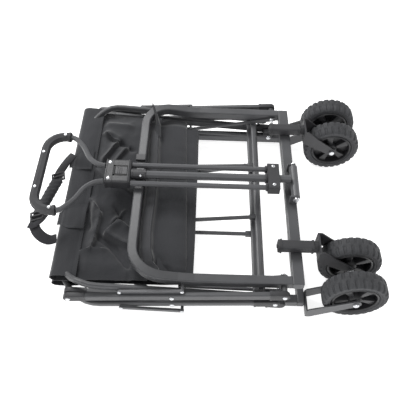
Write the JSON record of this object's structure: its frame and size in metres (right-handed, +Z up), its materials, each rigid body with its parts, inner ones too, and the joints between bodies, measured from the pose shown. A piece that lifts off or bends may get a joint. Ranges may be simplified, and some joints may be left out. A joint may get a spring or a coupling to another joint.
{
  "type": "folding camp wagon",
  "caption": "Folding camp wagon, folded flat: dark steel hoops and crossed side bars, black fabric packed between, chunky black wheels and a telescoping pull handle with a D grip",
  "frame": {"origin": "centre of the folded wagon's footprint, on the surface it lies on", "axes": "+X from the handle end towards the wheels, +Y across the wagon, +Z up through the thickness of the folded wagon"},
  "size_m": [0.7628, 0.563, 0.1463],
  "materials": {
    "frame_steel": "satin powder coat",
    "black_plastic": "fine texture",
    "zinc_steel": "bright zinc",
    "tyre_rubber": "matt",
    "woven_polyester": "woven",
    "grip_plastic": "soft touch"
  },
  "bodies": {
    "rear_frame": {"rear_hoop": "frame_steel", "rear_cross_bar": "frame_steel", "rear_fork_near": "frame_steel", "rear_fork_far": "frame_steel", "rear_axle_near": "zinc_steel", "rear_axle_far": "zinc_steel"},
    "rear_side_bars": {"rear_side_bar_near": "frame_steel", "rear_side_bar_far": "frame_steel"},
    "rear_top": {"rear_top_frame": "frame_steel", "rear_lower_cross_tube": "frame_steel"},
    "front_top": {"front_top_frame": "frame_steel", "front_lower_cross_tube": "frame_steel"},
    "front_side_bars": {"front_side_bar_near": "frame_steel", "front_side_bar_far": "frame_steel"},
    "front_frame": {"front_hoop": "frame_steel", "front_cross_bar": "frame_steel", "caster_housing_near": "black_plastic", "caster_housing_far": "black_plastic", "handle_bracket": "frame_steel", "handle_pivot_bolt": "zinc_steel", "handle_clip": "black_plastic"},
    "front_links": {"front_link_near": "frame_steel", "front_link_far": "frame_steel"},
    "rear_links": {"rear_link_near": "frame_steel", "rear_link_far": "frame_steel"},
    "front_floor_bars": {"front_floor_bars": "frame_steel"},
    "rear_floor_bars": {"rear_floor_bars": "frame_steel"},
    "front_floor_rods": {"front_floor_rods": "frame_steel"},
    "rear_floor_rods": {"rear_floor_rods": "frame_steel"},
    "front_panel": {"front_panel": "woven_polyester", "carry_strap": "woven_polyester"},
    "rear_panel": {"rear_panel": "woven_polyester"},
    "front_cloth": {"front_cloth": "woven_polyester"},
    "rear_cloth": {"rear_cloth": "woven_polyester"},
    "handle_arm": {"handle_pivot_tube": "frame_steel", "handle_centre_tube": "frame_steel", "handle_collar": "black_plastic"},
    "handle_slide": {"handle_lower_block": "black_plastic", "handle_slide_tube_near": "frame_steel", "handle_slide_tube_far": "frame_steel", "handle_hub": "black_plastic", "handle_bow_near": "frame_steel", "handle_bow_far": "frame_steel", "handle_grip": "grip_plastic"},
    "handle_button": {"release_button": "black_plastic"},
    "caster_near": {"caster_fork_near": "black_plastic", "caster_axle_near": "zinc_steel"},
    "caster_wheel_near": {"caster_rim_near": "black_plastic", "caster_tyre_near": "tyre_rubber"},
    "rear_wheel_near": {"rear_rim_near": "black_plastic", "rear_tyre_near": "tyre_rubber"},
    "caster_far": {"caster_fork_far": "black_plastic", "caster_axle_far": "zinc_steel"},
    "caster_wheel_far": {"caster_rim_far": "black_plastic", "caster_tyre_far": "tyre_rubber"},
    "rear_wheel_far": {"rear_rim_far": "black_plastic", "rear_tyre_far": "tyre_rubber"}
  },
  "joints": [
    {"name": "fold", "type": "hinge", "parent": "rear_frame", "child": "rear_side_bars", "pos_m": [0.163, 0, 0.0295], "axis": [0, 1, 0], "range_deg": [0, 60.6]},
    {"name": "rear_crossing", "type": "hinge", "parent": "rear_side_bars", "child": "rear_top", "pos_m": [-0.06502, 0, 0.04581], "axis": [0, 1, 0], "range_deg": [-122.32, 0.5]},
    {"name": "bottom_pivot", "type": "hinge", "parent": "rear_top", "child": "front_top", "pos_m": [0.14744, 0, 0.061], "axis": [0, 1, 0], "range_deg": [-0.5, 122.32]},
    {"name": "front_crossing", "type": "hinge", "parent": "front_top", "child": "front_side_bars", "pos_m": [-0.06502, 0, 0.07619], "axis": [0, 1, 0], "range_deg": [-122.32, 0.5]},
    {"name": "front_pivot", "type": "hinge", "parent": "front_side_bars", "child": "front_frame", "pos_m": [0.163, 0, 0.0925], "axis": [0, 1, 0], "range_deg": [-0.5, 61.41]},
    {"name": "rear_link_swing", "type": "hinge", "parent": "rear_frame", "child": "rear_links", "pos_m": [-0.044, 0, 0.0295], "axis": [0, 1, 0], "range_deg": [-0.5, 117.11]},
    {"name": "front_link_swing", "type": "hinge", "parent": "front_frame", "child": "front_links", "pos_m": [-0.044, 0, 0.0925], "axis": [0, 1, 0], "range_deg": [-117.11, 0.5]},
    {"name": "rear_floor_bar_swing", "type": "hinge", "parent": "rear_frame", "child": "rear_floor_bars", "pos_m": [0.163, 0, 0.0295], "axis": [0, 1, 0], "range_deg": [-0.5, 73.29]},
    {"name": "front_floor_bar_swing", "type": "hinge", "parent": "front_frame", "child": "front_floor_bars", "pos_m": [0.163, 0, 0.0925], "axis": [0, 1, 0], "range_deg": [-67.2, 0.5]},
    {"name": "rear_floor_rod_swing", "type": "hinge", "parent": "rear_top", "child": "rear_floor_rods", "pos_m": [0.09894, 0, 0.04951], "axis": [0, 1, 0], "range_deg": [-12.68, 0.5]},
    {"name": "front_floor_rod_swing", "type": "hinge", "parent": "front_top", "child": "front_floor_rods", "pos_m": [0.10731, 0, 0.07189], "axis": [0, 1, 0], "range_deg": [-0.5, 31.56]},
    {"name": "rear_panel_hang", "type": "hinge", "parent": "rear_top", "child": "rear_panel", "pos_m": [-0.30767, 0, 0.05051], "axis": [0, 1, 0], "range_deg": [-0.5, 61.41]},
    {"name": "front_panel_hang", "type": "hinge", "parent": "front_top", "child": "front_panel", "pos_m": [-0.30767, 0, 0.07149], "axis": [0, 1, 0], "range_deg": [-61.41, 0.5]},
    {"name": "rear_cloth_travel", "type": "slide", "parent": "rear_panel", "child": "rear_cloth", "axis": [0, 0, 1], "range_m": [-0.002, 0.396], "deforming": ["rear_cloth"]},
    {"name": "front_cloth_travel", "type": "slide", "parent": "front_panel", "child": "front_cloth", "axis": [0, 0, -1], "range_m": [-0.002, 0.396], "deforming": ["front_cloth"]},
    {"name": "caster_swivel_near", "type": "hinge", "parent": "front_frame", "child": "caster_near", "pos_m": [0.313, -0.168, 0.1185], "axis": [1, 0, 0], "range_deg": [-10, 190]},
    {"name": "caster_spin_near", "type": "hinge", "parent": "caster_near", "child": "caster_wheel_near", "pos_m": [0.313, -0.168, 0.068], "axis": [0, 1, 0], "continuous": true},
    {"name": "rear_spin_near", "type": "hinge", "parent": "rear_frame", "child": "rear_wheel_near", "pos_m": [0.313, -0.248, 0.068], "axis": [0, 1, 0], "continuous": true},
    {"name": "caster_swivel_far", "type": "hinge", "parent": "front_frame", "child": "caster_far", "pos_m": [0.313, 0.168, 0.1185], "axis": [1, 0, 0], "range_deg": [-190, 10]},
    {"name": "caster_spin_far", "type": "hinge", "parent": "caster_far", "child": "caster_wheel_far", "pos_m": [0.313, 0.168, 0.068], "axis": [0, 1, 0], "continuous": true},
    {"name": "rear_spin_far", "type": "hinge", "parent": "rear_frame", "child": "rear_wheel_far", "pos_m": [0.313, 0.248, 0.068], "axis": [0, 1, 0], "continuous": true},
    {"name": "handle_lift", "type": "hinge", "parent": "front_frame", "child": "handle_arm", "pos_m": [0.199, 0, 0.1225], "axis": [0, 1, 0], "range_deg": [0, 120]},
    {"name": "handle_extend", "type": "slide", "parent": "handle_arm", "child": "handle_slide", "axis": [-1, 0, 0], "range_m": [0, 0.266]},
    {"name": "release_press", "type": "slide", "parent": "handle_slide", "child": "handle_button", "axis": [0, 0, -1], "range_m": [0, 0.003], "stiffness_N_per_m": 300}
  ],
  "couplings": [
    {"joint": "rear_crossing", "follows": "fold", "ratio": -2},
    {"joint": "bottom_pivot", "follows": "fold", "ratio": 2},
    {"joint": "front_crossing", "follows": "fold", "ratio": -2},
    {"joint": "front_pivot", "follows": "fold", "ratio": 1},
    {"joint": "rear_link_swing", "follows": "fold", "ratio": 1.9144},
    {"joint": "front_link_swing", "follows": "fold", "ratio": -1.9144},
    {"joint": "rear_floor_bar_swing", "follows": "fold", "ratio": 1.195},
    {"joint": "front_floor_bar_swing", "follows": "fold", "ratio": -1.095},
    {"joint": "rear_floor_rod_swing", "follows": "fold", "ratio": -0.2},
    {"joint": "front_floor_rod_swing", "follows": "fold", "ratio": 0.51},
    {"joint": "rear_panel_hang", "follows": "fold", "ratio": 1},
    {"joint": "front_panel_hang", "follows": "fold", "ratio": -1},
    {"joint": "rear_cloth_travel", "follows": "fold", "m_per_rad": 0.369},
    {"joint": "front_cloth_travel", "follows": "fold", "m_per_rad": 0.369}
  ]
}
